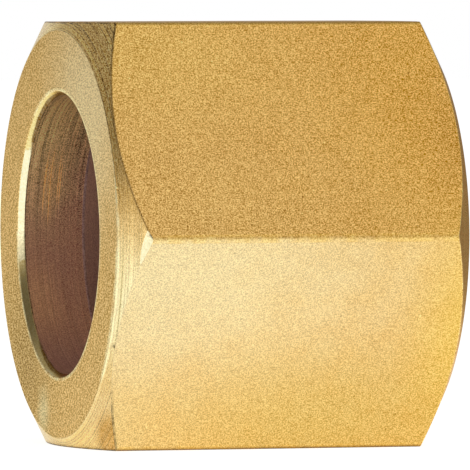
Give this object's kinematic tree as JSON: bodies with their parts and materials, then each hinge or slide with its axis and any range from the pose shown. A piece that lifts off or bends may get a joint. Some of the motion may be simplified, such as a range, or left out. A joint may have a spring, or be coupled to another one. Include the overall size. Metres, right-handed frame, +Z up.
{
  "type": "union nut",
  "caption": "Brass hexagon union nut, chamfered at both ends, with a smooth collar bore and conical seat at one end and a pipe thread at the other.",
  "frame": {"origin": "middle of the flat that the nut lies on", "axes": "X along the nut's axis, from the collar end at -X to the threaded end at +X; Y across two corners of the hexagon; +Z up, across two flats"},
  "size_m": [0.0164, 0.0218, 0.019],
  "materials": {
    "brass": "fine blasted flats, satin turned end faces and chamfers, darker turned bore"
  },
  "bodies": {
    "root": {"union_nut": "brass"}
  },
  "joints": []
}
